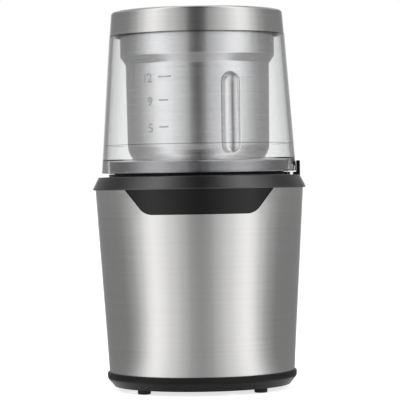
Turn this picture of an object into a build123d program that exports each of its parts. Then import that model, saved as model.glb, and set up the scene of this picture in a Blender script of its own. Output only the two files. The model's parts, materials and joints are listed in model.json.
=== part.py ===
from build123d import *
import os
from math import cos, radians, sin

# Electric spice grinder: a steel-skinned motor base, a lift-out steel grinding bowl on a
# plastic foot, and a clear lid that is pressed down to run the motor.
# Millimetres. Z is up and 0 is the underside of the rubber feet, X = Y = 0 is the motor's
# axis and the front faces -Y.

UP = (Align.CENTER, Align.CENTER, Align.MIN)
OUTWARD = (Align.MIN, Align.CENTER)

# ---- Clearances -------------------------------------------------------------------
RUN = 0.05  # radial, a shaft in its bearing, seal or bush
FIT = 0.05  # between two fixed pieces, one inside the other
SLIP = 0.3  # between pieces that move past each other
PRESS = 1.8  # how far the lid goes down to switch the motor on
PAST = 1.0  # how far a cut runs past a face, or a rib's root into the wall it stands on
SCREW_END_GAP = 1.0  # between a screw's end and the end of its hole

# ---- Grinding bowl, the cup that the radii are worked out from ----------------------
BOWL_R = 37.8
BOWL_DRAFT = 0.4  # how much narrower the cup is just above its bottom corner
BOWL_WALL = 0.8
BOWL_CORNER_R = 12.0
BOWL_H = 72.0
MOUTH_R = 40.6
MOUTH_H = 14.0
SHOULDER_H = 4.2
SHOULDER_ROUND = 1.5
RIM_LIP = 0.8
RIM_T = 1.0
FLUTE_WIDTH = 10.6
FLUTE_DEPTH = 4.0
FLUTE_LOW = 5.4  # above the cup's bottom
FLUTE_DROP = 5.3  # below the shoulder
FLUTE_RIM_R = 1.0
FLUTE_ANGLE = -63.5  # from +X, so 26.5 degrees right of the front

# ---- Bowl foot ----------------------------------------------------------------------
FOOT_MARGIN = 9.4
BAND_H = 5.9
BAND_ROUND = 0.5
CUP_SINK = 3.0  # the cup's bottom above the foot's seat
WEB_T = 3.7
CUP_GAP = 0.1
SPIGOT_SIDE_GAP = 0.4
SPIGOT_T = 2.2
SPIGOT_FLOOR_GAP = 2.0
FOOT_SKIN_T = 0.6
LUG_W = 12.0
LUG_H = 7.0
LUG_DEPTH = 1.6
LUG_ANGLES = (60, 180, 300)

# ---- Lid ----------------------------------------------------------------------------
LID_NECK_GAP = 0.7
LID_FOOT_T = 3.0
LID_FOOT_H = 6.2
LID_FOOT_CONE = 0.8  # from the thick foot up to the skirt's own wall
LID_SKIRT_T = 2.2
LID_WALL_T = 2.0
LID_SKIRT_H = 14.4
LID_LIFT = 2.0  # the gap between the lid and the collar, closed when it is pressed
LID_MOUTH_GAP = 3.6
LID_ROOF_T = 2.6
LID_NECK_STEP = 0.6
LID_ROUND = 0.4
LEDGE_H = 0.2
CAP_H = 12.7
CAP_T = 0.6
CAP_ROOF_T = 0.8
CAP_STEP = 0.2
CAP_TAPER = 1.0
CAP_ROUND = 1.6
NOTCH_H = 2.3
FINGER_T = 1.3
FINGER_W = 8.0
FINGER_DROP = 4.0

# ---- Rim seal and its retainer -------------------------------------------------------
SEAL_LEG_H = 2.6
SEAL_OUTER_T = 1.3
SEAL_INNER_T = 1.2
SEAL_TOP_T = 1.9
RETAINER_T = 2.0
RETAINER_INSET = 4.3  # inside the cup's mouth

# ---- Collar --------------------------------------------------------------------------
NECK_H = 1.5
NECK_T = 2.5
NECK_GAP = 0.3
COLLAR_H = 5.0
COLLAR_DROP = 1.7
COLLAR_EDGE_H = 0.7
COLLAR_LIP_T = 0.8
COLLAR_FLARE = 3.0
COLLAR_ROUND = 0.6
DECK_MARGIN = 1.8
DECK_T = 2.4
WELL_FLOOR_T = 2.4
POST_H = 7.4
POST_T = 1.7
POST_W = 12.0
POST_LID_GAP = 0.4
POST_ROUND = 0.5
BLOCK_DROP = 0.1
NECK_ROUND = 0.4
SEAL_R = 8.0
BOSS_R = 4.0
BOSS_ANGLES = (60, 180, 300)
BOSS_INSET = 6.6  # inside the well's wall

# ---- Steel shell, housing, front panel -------------------------------------------------
BODY_TAPER = 6.2
SHELL_T = 0.6
SHELL_TOP_GAP = 0.2
SKIN_GAP = 0.2
HOUSING_T = 2.4
PANEL_RECESS = 0.4
PANEL_T = 1.8
PANEL_GAP = 0.15
PANEL_H = 14.4
PANEL_BOTTOM_HALF = 28.0
PANEL_TOP_HALF = 40.0
PANEL_CORNER_R = 8.0
SHELF_W = 16.0
SHELF_T = 2.4
MOTOR_DECK_T = 2.4
MOTOR_DECK_HOLE_R = 26.0  # the middle opening that the upper bracket stands under
MOTOR_DECK_ROOM = 7.2  # between the motor deck and the well's floor

# ---- Base ring, bottom cover, feet -----------------------------------------------------
FOOT_H = 2.4
PAD_R = 3.4
PAD_STEM_R = 1.9
PAD_HEAD_R = 2.6
PAD_HEAD_T = 0.9
PAD_ROUND = 0.6
FOOT_ANGLES = (43, 137, 223, 317)
COVER_T = 2.0
COVER_RIM_H = 2.0
COVER_RIM_T = 2.0
COVER_INSET = 2.7
VENT_W = 2.5
VENT_L = 15.0
VENT_CIRCLE_R = 21.0
VENT_COUNT = 12
RING_FLANGE_T = 1.9
RING_LIP_H = 1.5
RING_PROUD = 1.2
RING_LIP_GAP = 0.15
RING_SIDE_H = 3.1
RING_TUCK = 3.5
RING_ROUND = 2.5
COVER_SCREW_INSET = 5.0  # inside the cover's rim
COVER_SCREW_ANGLES = (22.5, 112.5, 202.5, 292.5)
COVER_SCREW_L = 14.0
WEB_W = 2.5
WEB_H = 12.0
SCREW_R = 1.5
SCREW_HEAD_R = 3.0
SCREW_HEAD_H = 1.6
SCREW_HOLE_GAP = 0.2
DRIVE_SLOT_W = 0.7
DRIVE_SLOT_D = 0.9
PAN_HEAD_H = 2.0

# ---- Cord inlet -------------------------------------------------------------------------
INLET_BORE_R = 3.6
INLET_TUBE_R = 5.6
INLET_FLANGE_R = 7.5
INLET_FLANGE_T = 1.8
INLET_ABOVE_SHELL = 10.5
INLET_TAIL = 1.5

# ---- Motor --------------------------------------------------------------------------------
SHAFT_R = 3.0
SHAFT_TAIL = 0.6
BEARING_R = 9.5
BEARING_H = 6.0
CUP_T = 2.5
FAN_FLOOR_GAP = 4.1
FAN_R = 32.0
FAN_BLADE_H = 7.0
FAN_DISC_T = 1.5
FAN_HUB_R = 6.0
FAN_BLADE_T = 1.2
FAN_BLADES = 9
FAN_BLADE_SETBACK = 1.0  # inside the disc's edge
FAN_TOP_GAP = 2.5
COMMUTATOR_R = 10.0
COMMUTATOR_L = 12.5
COMMUTATOR_GAP = 3.0
COMMUTATOR_SEGMENTS = 24
WINDING_GAP = 0.5
WINDING_H = 6.5
WINDING_R = 11.7
CORE_R = 14.0
STACK_H = 24.0
AIR_GAP = 0.5
STATOR_X = 48.0
STATOR_Y = 58.0
STATOR_ROUND = 6.0
COIL_T = 5.4
COIL_DEPTH = 7.8
COIL_END_H = 6.5
COIL_GAP = 0.2
COIL_BORE_GAP = 0.2
UPPER_GAP = 3.5
DECK_BEARING_GAP = 1.0
BRACKET_T = 2.5
WEB_UNDER_BEARING = 1.5
BRACKET_POST_R = 3.6
BOLT_R = 1.8
BOLT_HEAD_R = 3.2
BOLT_HEAD_H = 2.4
BOLT_PROUD = 1.0  # beyond its nut
ARM_W = 7.0
GROOVE_W = 2.0
GROOVE_D = 0.5
SHAFT_CHAMFER = 0.5
CORE_SLOTS = 12
CORE_SLOT_W = 1.8
CORE_SLOT_D = 4.0
WINDING_ROUND = 2.5
SEGMENT_GAP_W = 0.4
SEGMENT_GAP_D = 0.8
BRUSH_SPRING_R = 1.9
BRUSH_WIRE_R = 0.3
BRUSH_SPRING_TURNS = 4
HOLDER_SETBACK = 1.2
MOUNT_SPREAD = 24.0  # of each rubber mount from the axis, along X and along Y
DAMPER_R = 5.0
DAMPER_H = 3.0
BRUSH_W = 5.0
BRUSH_H = 6.5
BRUSH_L = 12.0
HOLDER_T = 1.0
HOLDER_L = 17.0

# ---- Drive couplings ----------------------------------------------------------------------
COUPLING_R = 10.0
COUPLING_FLOOR_GAP = 0.8
COUPLING_PLATE_T = 2.1
DRIVEN_PLATE_T = 3.0
DOG_H = 3.4
DOG_CORE_R = 4.6
DOG_INNER_R = 5.6
DOG_ANGLE = 50
DOG_COUNT = 3

# ---- Blade, its shaft, bush and nuts --------------------------------------------------------
BLADE_SHAFT_R = 2.5
BUSH_R = 6.0
BUSH_FLANGE_R = 9.5
BUSH_FLANGE_T = 1.4
BUSH_NECK_H = 1.2
BUSH_NECK_R = 4.8
BUSH_NUT_R = 9.0
BUSH_NUT_T = 2.3
GASKET_T = 0.6
BLADE_R = 29.0
BLADE_T = 1.2
BLADE_ROOT_W = 13.0
BLADE_TIP_W = 8.0
BLADE_BEND = 4.0  # how far along the blade its bend reaches
BLADE_LIFT = 3.2
BLADE_SWEEP = 4.0
BLADE_FLAT = 1.5  # beyond its nut, before it bends
SHAFT_STEP = 1.0  # the step under the blade, inwards from the shaft's side
BLADE_NUT_R = 4.2
BLADE_NUT_H = 3.6
BLADE_NUT_TOP_T = 1.0

# ---- Switch and its rod ---------------------------------------------------------------------
SWITCH_WALL_GAP = 1.3
ROD_R = 2.0
ROD_W = 6.0
ROD_T = 2.0
ROD_FLANGE_R = 3.8
ROD_FLANGE_T = 1.5
SPRING_L = 10.2
SPRING_WIRE_R = 0.35
SPRING_TURNS = 5
SPRING_R = 3.0
SWITCH_L = 20.0
SWITCH_W = 6.4
SWITCH_H = 10.2
SWITCH_BUTTON_H = 1.0
SWITCH_BUTTON_X = 15.5  # from the switch's inner end
SWITCH_BUTTON_R = 1.4
SWITCH_HOLE_SPACING = 9.5
SWITCH_HOLE_UP = 3.0
SWITCH_SCREW_R = 1.1
TERMINAL_SPACING = 7.0
TERMINAL_W = 3.0
TERMINAL_T = 0.5
TERMINAL_L = 4.0
ROD_TIP_DROP = 0.8
JOG_DECK_GAP = 1.3
SHELF_REACH = 6.0  # inwards from the rod's axis

# ---- Heights, from the table up -------------------------------------------------------------
z_cover = FOOT_H
z_cover_top = z_cover + COVER_T
z_flange = z_cover_top + COVER_RIM_H
z_shell = z_flange + RING_FLANGE_T
z_ring_top = z_shell + RING_LIP_H
z_fan = z_cover_top + FAN_FLOOR_GAP
z_fan_disc = z_fan + FAN_BLADE_H
z_fan_top = z_fan_disc + FAN_DISC_T
z_low_bearing = z_fan_top + FAN_TOP_GAP
z_low_bearing_top = z_low_bearing + BEARING_H
z_commutator = z_low_bearing_top + COMMUTATOR_GAP
z_commutator_top = z_commutator + COMMUTATOR_L
z_low_winding = z_commutator_top + WINDING_GAP
z_stack = z_low_winding + WINDING_H
z_stack_top = z_stack + STACK_H
z_high_winding_top = z_stack_top + WINDING_H
z_high_bearing = z_high_winding_top + UPPER_GAP
z_high_bearing_top = z_high_bearing + BEARING_H
z_motor_deck = z_high_bearing_top + DECK_BEARING_GAP
z_motor_deck_top = z_motor_deck + MOTOR_DECK_T
z_well_under = z_motor_deck_top + MOTOR_DECK_ROOM
z_well = z_well_under + WELL_FLOOR_T
z_drive = z_well + COUPLING_FLOOR_GAP
z_drive_plate_top = z_drive + COUPLING_PLATE_T
z_driven_plate = z_drive_plate_top + SLIP + DOG_H
z_driven_top = z_driven_plate + DRIVEN_PLATE_T
z_bush_nut = z_driven_top + SLIP
z_web = z_bush_nut + BUSH_NUT_T
z_cup = z_web + WEB_T + CUP_GAP
z_bowl_foot = z_cup - CUP_SINK
z_band_top = z_bowl_foot + BAND_H
z_skin = z_band_top - FOOT_SKIN_T
z_neck = z_bowl_foot - NECK_GAP
z_deck = z_neck - NECK_H
z_collar_seat = z_deck - COLLAR_H
z_collar_low = z_collar_seat - COLLAR_DROP
z_shell_top = z_collar_seat - SHELL_TOP_GAP
z_rim = z_cup + BOWL_H
z_mouth = z_rim - MOUTH_H
z_shoulder = z_mouth - SHOULDER_H
z_cup_floor = z_cup + BOWL_WALL
z_seal_top = z_rim + PRESS + SLIP + SEAL_TOP_T
z_retainer = z_seal_top + SLIP
z_roof = z_retainer + RETAINER_T
z_roof_top = z_roof + LID_ROOF_T
z_top = z_roof_top + CUP_GAP + CAP_ROOF_T
z_cap = z_top - CAP_H
z_lid = z_deck + LID_LIFT
z_switch_rod_top = z_lid - FINGER_DROP - SLIP

# ---- Radii, from the bowl outwards -----------------------------------------------------------
bowl_foot_r = BOWL_R + FOOT_MARGIN
neck_r = bowl_foot_r + NECK_GAP
well_r = neck_r - NECK_T
lid_skirt_r = neck_r + LID_NECK_GAP
lid_r = lid_skirt_r + LID_FOOT_T
lid_top_r = MOUTH_R + LID_MOUTH_GAP + LID_WALL_T
collar_top_r = lid_r + DECK_MARGIN
collar_r = collar_top_r + COLLAR_FLARE
body_top_r = collar_r - COLLAR_LIP_T - SLIP
body_low_r = body_top_r - BODY_TAPER
ring_r = body_low_r + RING_PROUD
stator_bore_r = CORE_R + AIR_GAP
cup_holder_r = BEARING_R + CUP_T
bolt_x = (stator_bore_r + STATOR_X / 2) / 2
slot_in_r = lid_skirt_r - SLIP
slot_out_r = lid_skirt_r + FINGER_T + SLIP
post_in_r = lid_r + POST_LID_GAP


def body_r(z):
    """Outside radius of the steel shell at height z."""
    share = (z - z_shell) / (z_collar_seat - z_shell)
    return body_low_r + share * BODY_TAPER


def lid_outer_r(z):
    """Outside radius of the lid's clear wall at height z."""
    share = (z - z_lid) / (z_cap - z_lid)
    return lid_r + share * (lid_top_r - lid_r)


def turn(*points, rounds=(), mode=Mode.ADD):
    """Revolve a closed outline of (radius, height) points, with some corners rounded."""
    with BuildSketch(Plane.XZ) as outline:
        with BuildLine():
            Polyline(*points, close=True)
        make_face()
        for corner, radius in rounds:
            fillet(outline.vertices().sort_by_distance(Vector(*corner))[0], radius)
    revolve(outline.sketch, axis=Axis.Z, mode=mode)


def ring(inner, outer, low, high, mode=Mode.ADD):
    """A plain ring or washer between two radii and two heights."""
    turn((inner, low), (outer, low), (outer, high), (inner, high), mode=mode)


def column(x, y, radius, low, high, mode=Mode.ADD):
    """A round column or hole that stands at (x, y) between two heights."""
    with Locations((x, y, low)):
        Cylinder(radius, high - low, align=UP, mode=mode)


def block(x, y, length, width, low, high, mode=Mode.ADD):
    """A rectangular block centred on (x, y) between two heights."""
    with Locations((x, y, low)):
        Box(length, width, high - low, align=UP, mode=mode)


def arc_block(inner, outer, width, low, high, angle=0, mode=Mode.ADD):
    """A block that is curved about the axis, width wide, turned by angle from +X."""
    with BuildSketch(Plane.XY.offset(low)) as footprint:
        Circle(outer)
        Circle(inner, mode=Mode.SUBTRACT)
        Rectangle(outer + width, width, rotation=angle, align=OUTWARD, mode=Mode.INTERSECT)
    extrude(footprint.sketch, amount=high - low, mode=mode)


def around(radius, angles):
    """Points on a circle about the axis."""
    return [(radius * cos(radians(a)), radius * sin(radians(a))) for a in angles]


def cup_section(inset, top):
    """Half section of the cup, drawn inwards from its outside by inset, closed at top."""
    low_r = BOWL_R - BOWL_DRAFT - inset
    corner_r = BOWL_CORNER_R - inset
    with BuildSketch(Plane.XZ) as section:
        with BuildLine():
            floor = Line((0, z_cup + inset), (low_r - corner_r, z_cup + inset))
            corner = JernArc(start=floor @ 1, tangent=(1, 0), radius=corner_r, arc_size=90)
            Polyline(
                corner @ 1,
                (BOWL_R - inset, z_shoulder),
                (MOUTH_R - inset, z_mouth),
                (MOUTH_R - inset, top),
                (0, top),
                floor @ 0,
            )
        make_face()
        for corner_point in ((BOWL_R - inset, z_shoulder), (MOUTH_R - inset, z_mouth)):
            fillet(
                section.vertices().sort_by_distance(Vector(*corner_point))[0],
                SHOULDER_ROUND,
            )
    return section.sketch


def wall_section(outer_inset, inner_inset, low, high):
    """Half section of a wall that follows the body's taper, at two depths behind it."""
    with BuildSketch(Plane.XZ) as section:
        with BuildLine():
            Polyline(
                (body_r(low) - outer_inset, low),
                (body_r(high) - outer_inset, high),
                (body_r(high) - inner_inset, high),
                (body_r(low) - inner_inset, low),
                close=True,
            )
        make_face()
    return section.sketch


def panel_slab(grow, outer_inset, inner_inset, top):
    """The front panel's outline, grown by grow, between two depths behind the shell."""
    z_low = z_collar_seat - PANEL_H
    with BuildSketch(Plane.XZ) as outline:
        with BuildLine():
            Polyline(
                (-PANEL_BOTTOM_HALF, z_low),
                (PANEL_BOTTOM_HALF, z_low),
                (PANEL_TOP_HALF, z_collar_seat + PAST),
                (-PANEL_TOP_HALF, z_collar_seat + PAST),
                close=True,
            )
        make_face()
        fillet(outline.vertices().group_by(Axis.Y)[0], PANEL_CORNER_R)
        if grow:
            offset(amount=grow)
    with BuildPart() as slab:
        extrude(outline.sketch, amount=collar_r)
        section = wall_section(outer_inset, inner_inset, z_shell, top)
        revolve(section, axis=Axis.Z, mode=Mode.INTERSECT)
    return slab.part


def capsule(x, y, radius, low, high):
    """A round-ended upright bar."""
    with BuildPart() as bar:
        column(x, y, radius, low + radius, high - radius)
        with Locations((x, y, low + radius), (x, y, high - radius)):
            Sphere(radius)
    return bar.part


def coil(radius, wire_r, length, turns):
    """A coil spring that stands on the origin and fills length along Z."""
    rise = length - 2 * wire_r
    with BuildPart() as spring:
        with BuildLine(Plane.XY.offset(wire_r)) as centre:
            Helix(rise / turns, rise, radius)
        with BuildSketch(Plane(centre.line @ 0, z_dir=centre.line % 0)):
            Circle(wire_r)
        sweep(path=centre.line)
    return spring.part


def switch_holes():
    """Where the switch's two screws pass, on its middle plane."""
    half = SWITCH_HOLE_SPACING / 2
    z_hole = z_switch + SWITCH_HOLE_UP
    return [(switch_mid_x - half, 0, z_hole), (switch_mid_x + half, 0, z_hole)]


def save(part, name):
    """Label a finished piece and write it."""
    part.label = name
    export_step(part, f"parts/{name}.step")


# ==== Base ====================================================================================
os.makedirs("parts", exist_ok=True)

housing_out = SHELL_T + SKIN_GAP  # the housing's two faces behind the shell's outside
housing_in = housing_out + HOUSING_T
cover_r = body_low_r - COVER_INSET
flange_r = cover_r - COVER_RIM_T
z_inlet = z_shell + INLET_ABOVE_SHELL
z_arm = z_high_bearing - WEB_UNDER_BEARING
z_arm_top = z_arm + BRACKET_T
z_low_arm = z_low_bearing_top + WEB_UNDER_BEARING - BRACKET_T
z_low_arm_top = z_low_bearing_top + WEB_UNDER_BEARING
z_rod_flange = z_motor_deck - SLIP - ROD_FLANGE_T
z_spring = z_rod_flange - SPRING_L
z_shelf = z_spring - SHELF_T
z_rod_tip = z_shelf - ROD_TIP_DROP
z_switch_top = z_rod_tip - PRESS - SLIP - SWITCH_BUTTON_H
z_switch = z_switch_top - SWITCH_H
z_jog = z_motor_deck_top + PRESS + JOG_DECK_GAP
switch_mid_x = body_r(z_switch) - housing_in - SWITCH_WALL_GAP - SWITCH_L / 2
switch_x = switch_mid_x - SWITCH_L / 2
rod_x = switch_x + SWITCH_BUTTON_X
cover_screw_circle_r = flange_r - COVER_SCREW_INSET
MOUNTS = [(x, y) for x in (-MOUNT_SPREAD, MOUNT_SPREAD) for y in (-MOUNT_SPREAD, MOUNT_SPREAD)]
BOSSES = around(well_r - BOSS_INSET, BOSS_ANGLES)
FEET = around(flange_r - PAD_HEAD_R - SLIP, FOOT_ANGLES)
COVER_SCREWS = around(cover_screw_circle_r, COVER_SCREW_ANGLES)

# ---- Four rubber feet, pressed into the bottom cover ----
with BuildPart() as rubber_feet:
    for x, y in FEET:
        column(x, y, PAD_R, 0, z_cover)
    fillet(rubber_feet.edges().group_by(Axis.Z)[0], PAD_ROUND)
    for x, y in FEET:
        column(x, y, PAD_STEM_R, z_cover, z_cover_top + PAD_HEAD_T)
        column(x, y, PAD_HEAD_R, z_cover_top, z_cover_top + PAD_HEAD_T)
save(rubber_feet.part, "rubber_feet")

# ---- Bottom cover: a vented plate with a low rim that presses the base ring up ----
with BuildPart() as bottom_cover:
    ring(0, cover_r, z_cover, z_cover_top)
    ring(flange_r, cover_r, z_cover_top, z_flange)
    with BuildSketch(Plane.XY.offset(z_cover)) as vents:
        with PolarLocations(VENT_CIRCLE_R, VENT_COUNT):
            SlotOverall(VENT_L, VENT_W)
    extrude(amount=COVER_T, mode=Mode.SUBTRACT)
    for x, y in FEET:
        column(x, y, PAD_STEM_R + FIT, z_cover, z_cover_top, mode=Mode.SUBTRACT)
    for x, y in COVER_SCREWS:
        column(x, y, SCREW_R + SCREW_HOLE_GAP, z_cover, z_cover_top, mode=Mode.SUBTRACT)
        with Locations((x, y, z_cover)):
            Cone(SCREW_HEAD_R + SCREW_HOLE_GAP, SCREW_R, SCREW_HEAD_H, align=UP, mode=Mode.SUBTRACT)
save(bottom_cover.part, "bottom_cover")

# ---- Base ring: the black ring that the shell and the housing stand in ----
with BuildPart() as base_ring:
    lip_r = body_r(z_ring_top) + RING_LIP_GAP
    turn(
        (cover_r + FIT, z_cover),
        (ring_r - RING_TUCK, z_cover),
        (ring_r, z_ring_top - RING_SIDE_H),
        (ring_r, z_ring_top),
        (lip_r, z_ring_top),
        (lip_r, z_shell),
        (flange_r, z_shell),
        (flange_r, z_flange),
        (cover_r + FIT, z_flange),
        rounds=(
            ((ring_r, z_ring_top - RING_SIDE_H), RING_ROUND),
            ((ring_r, z_ring_top), COLLAR_ROUND),
        ),
    )
save(base_ring.part, "base_ring")

# ---- Four countersunk screws that hold the bottom cover to the housing ----
with BuildPart() as cover_screws:
    for x, y in COVER_SCREWS:
        with Locations((x, y, z_cover)):
            Cone(SCREW_HEAD_R, SCREW_R, SCREW_HEAD_H, align=UP)
        column(x, y, SCREW_R, z_cover + SCREW_HEAD_H, z_cover_top + COVER_SCREW_L)
        with Locations((x, y, z_cover)):
            Box(SCREW_HEAD_R, DRIVE_SLOT_W, DRIVE_SLOT_D, align=UP, mode=Mode.SUBTRACT)
            Box(DRIVE_SLOT_W, SCREW_HEAD_R, DRIVE_SLOT_D, align=UP, mode=Mode.SUBTRACT)
save(cover_screws.part, "cover_screws")

# ---- Steel shell: thin tapered tube with the front panel's opening and the cord hole ----
with BuildPart() as steel_shell:
    revolve(wall_section(0, SHELL_T, z_shell, z_shell_top), axis=Axis.Z)
    add(panel_slab(PANEL_GAP, -PAST, SHELL_T + PAST, z_shell_top + PAST), mode=Mode.SUBTRACT)
    with Locations(Plane(origin=(0, 0, z_inlet), z_dir=(0, 1, 0))):
        Cylinder(INLET_TUBE_R + SKIN_GAP, collar_r, align=UP, mode=Mode.SUBTRACT)
save(steel_shell.part, "steel_shell")

# ---- Front panel ----
with BuildPart() as front_panel:
    add(panel_slab(0, PANEL_RECESS, PANEL_RECESS + PANEL_T - FIT, z_shell_top))
save(front_panel.part, "front_panel")

# ---- Housing: the plastic barrel that carries the motor, the switch and the collar ----
shelf_x = body_r(z_shelf) - housing_in + PAST
plate_x = body_r(z_switch) - housing_in + PAST
plate_y = SWITCH_W / 2 + FIT
with BuildPart() as motor_housing:
    revolve(wall_section(housing_out, housing_in, z_shell, z_collar_seat), axis=Axis.Z)
    deck_r = body_r(z_motor_deck) - housing_in + PAST
    ring(MOTOR_DECK_HOLE_R, deck_r, z_motor_deck, z_motor_deck_top)
    for x, y in MOUNTS:
        column(x, y, DAMPER_R, z_arm_top + DAMPER_H, z_motor_deck)
        column(x, y, SCREW_R + FIT, z_arm_top, z_motor_deck_top, mode=Mode.SUBTRACT)
    for x, y in BOSSES:
        column(x, y, SCREW_R + SCREW_HOLE_GAP, z_motor_deck, z_motor_deck_top, mode=Mode.SUBTRACT)
    for angle in COVER_SCREW_ANGLES:
        web_out = body_low_r - housing_in + PAST
        arc_block(cover_screw_circle_r, web_out, WEB_W, z_shell, z_shell + WEB_H, angle)
    for x, y in COVER_SCREWS:
        column(x, y, BOSS_R, z_cover_top, z_cover_top + COVER_SCREW_L + HOUSING_T)
        column(x, y, SCREW_R + FIT, z_cover_top, z_cover_top + COVER_SCREW_L, mode=Mode.SUBTRACT)
    shelf_l = shelf_x - rod_x + SHELF_REACH
    block(shelf_x - shelf_l / 2, 0, shelf_l, SHELF_W, z_shelf, z_spring)
    plate_l = plate_x - switch_x + PAST
    plate_low = z_switch - PAST
    block(plate_x - plate_l / 2, plate_y + SHELF_T / 2, plate_l, SHELF_T, plate_low, z_shelf)
    column(rod_x, 0, ROD_R + SLIP, z_shelf, z_motor_deck_top, mode=Mode.SUBTRACT)
    with Locations(*[Plane(origin=p, z_dir=(0, 1, 0)) for p in switch_holes()]):
        Cylinder(SWITCH_SCREW_R + FIT, 2 * SHELF_T + SWITCH_W, mode=Mode.SUBTRACT)
    add(panel_slab(PANEL_GAP, 0, PANEL_RECESS + PANEL_T, z_collar_seat), mode=Mode.SUBTRACT)
    with Locations(Plane(origin=(0, 0, z_inlet), z_dir=(0, 1, 0))):
        Cylinder(INLET_TUBE_R + FIT, collar_r, align=UP, mode=Mode.SUBTRACT)
save(motor_housing.part, "motor_housing")

# ---- Cord inlet: the rubber bush in the back of the base ----
inlet_y = body_r(z_inlet + INLET_FLANGE_R)
with BuildPart() as cord_grommet:
    with BuildSketch(Plane(origin=(0, 0, z_inlet), x_dir=(1, 0, 0), z_dir=(0, 1, 0))):
        Circle(INLET_TUBE_R)
    extrude(amount=inlet_y + FIT)
    with BuildSketch(
        Plane(origin=(0, inlet_y + FIT, z_inlet), x_dir=(1, 0, 0), z_dir=(0, 1, 0))
    ):
        Circle(INLET_FLANGE_R)
    extrude(amount=INLET_FLANGE_T)
    fillet(cord_grommet.edges().group_by(Axis.Y)[-1], PAD_ROUND)
    with BuildSketch(Plane(origin=(0, 0, z_inlet), x_dir=(1, 0, 0), z_dir=(0, 1, 0))):
        Circle(INLET_BORE_R)
    extrude(amount=collar_r + INLET_FLANGE_T, mode=Mode.SUBTRACT)
    ring(0, inlet_y - housing_in - INLET_TAIL, z_cover, z_well, mode=Mode.SUBTRACT)
save(cord_grommet.part, "cord_grommet")

# ---- Collar: cone, deck, neck and well in one moulding, with the lid lock's post ----
lug_r = well_r - SPIGOT_SIDE_GAP + LUG_DEPTH - SLIP
with BuildPart() as top_collar:
    turn(
        (collar_r - COLLAR_LIP_T, z_collar_low),
        (collar_r, z_collar_low),
        (collar_r, z_collar_low + COLLAR_EDGE_H),
        (collar_top_r, z_deck),
        (neck_r, z_deck),
        (neck_r, z_neck),
        (well_r, z_neck),
        (well_r, z_well),
        (SEAL_R + FIT, z_well),
        (SEAL_R + FIT, z_well_under),
        (neck_r, z_well_under),
        (neck_r, z_deck - DECK_T),
        (body_top_r - housing_in, z_deck - DECK_T),
        (body_top_r - housing_in, z_collar_seat),
        (collar_r - COLLAR_LIP_T, z_collar_seat),
        rounds=(((collar_top_r, z_deck), COLLAR_ROUND), ((neck_r, z_neck), NECK_ROUND)),
    )
    for x, y in BOSSES:
        column(x, y, BOSS_R, z_motor_deck_top, z_well_under)
        column(x, y, SCREW_R + FIT, z_motor_deck_top, z_well_under, mode=Mode.SUBTRACT)
    for angle in LUG_ANGLES:
        slot_r = well_r + LUG_DEPTH
        arc_block(well_r - PAST, slot_r, LUG_W + 2 * SLIP, z_well, z_neck, angle, Mode.SUBTRACT)
    arc_block(neck_r - PAST, post_in_r, POST_W, z_deck - PAST, z_neck - BLOCK_DROP)
    arc_block(post_in_r, post_in_r + POST_T, POST_W, z_deck - PAST, z_deck + POST_H)
    post_top = top_collar.faces().filter_by(Axis.Z).sort_by(Axis.Z)[-1]
    fillet(post_top.edges(), POST_ROUND)
    arc_block(slot_in_r, slot_out_r, POST_W + 2 * PAST, z_deck, z_neck, mode=Mode.SUBTRACT)
    slot_w = FINGER_W + 2 * SLIP
    arc_block(slot_in_r, slot_out_r, slot_w, z_deck - DECK_T, z_neck, mode=Mode.SUBTRACT)
save(top_collar.part, "top_collar")

# ---- Three screws that hold the housing up against the collar's bosses ----
with BuildPart() as collar_screws:
    for x, y in BOSSES:
        column(x, y, SCREW_HEAD_R, z_motor_deck - PAN_HEAD_H, z_motor_deck)
        column(x, y, SCREW_R, z_motor_deck, z_well_under - SCREW_END_GAP)
        with Locations((x, y, z_motor_deck - PAN_HEAD_H)):
            Box(SCREW_HEAD_R, DRIVE_SLOT_W, DRIVE_SLOT_D, align=UP, mode=Mode.SUBTRACT)
            Box(DRIVE_SLOT_W, SCREW_HEAD_R, DRIVE_SLOT_D, align=UP, mode=Mode.SUBTRACT)
save(collar_screws.part, "collar_screws")

# ---- Shaft seal: the rubber ring in the well's floor ----
with BuildPart() as shaft_seal:
    turn(
        (SHAFT_R + RUN, z_well_under),
        (SEAL_R, z_well_under),
        (SEAL_R, z_well),
        (SHAFT_R + SEAL_TOP_T, z_well),
        (SHAFT_R + RUN, z_well - COLLAR_ROUND),
    )
save(shaft_seal.part, "shaft_seal")

# ==== Motor ===================================================================================

# ---- Laminated stator stack with its bore, coil windows and bolt holes ----
coil_y = WINDING_R + COIL_BORE_GAP + 2 * COIL_GAP
with BuildPart() as stator_core:
    with BuildSketch(Plane.XY.offset(z_stack)) as lamination:
        RectangleRounded(STATOR_X, STATOR_Y, STATOR_ROUND)
        Circle(stator_bore_r, mode=Mode.SUBTRACT)
        window_x = stator_bore_r + COIL_T / 2 + COIL_GAP
        window_y = coil_y + COIL_DEPTH / 2
        with GridLocations(2 * window_x, 2 * window_y, 2, 2):
            Rectangle(COIL_T + 2 * COIL_GAP, COIL_DEPTH + 2 * COIL_GAP, mode=Mode.SUBTRACT)
        with Locations((-bolt_x, 0), (bolt_x, 0)):
            Circle(BOLT_R + FIT, mode=Mode.SUBTRACT)
    extrude(amount=STACK_H)
save(stator_core.part, "stator_core")

# ---- Two field coils, each wound through two windows and round the stack's ends ----
with BuildPart() as field_coils:
    for side in (-1, 1):
        middle = side * (coil_y + COIL_DEPTH / 2)
        half = window_x + COIL_T / 2
        coil_plane = Plane(origin=(0, middle, (z_stack + z_stack_top) / 2), z_dir=(0, 1, 0))
        with BuildSketch(coil_plane) as loop:
            Rectangle(STACK_H + 2 * COIL_END_H, 2 * half)
            fillet(loop.vertices(), COIL_T / 2)
            Rectangle(STACK_H + 2 * COIL_GAP, 2 * half - 2 * COIL_T, mode=Mode.SUBTRACT)
        extrude(amount=COIL_DEPTH / 2, both=True)
save(field_coils.part, "field_coils")

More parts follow.
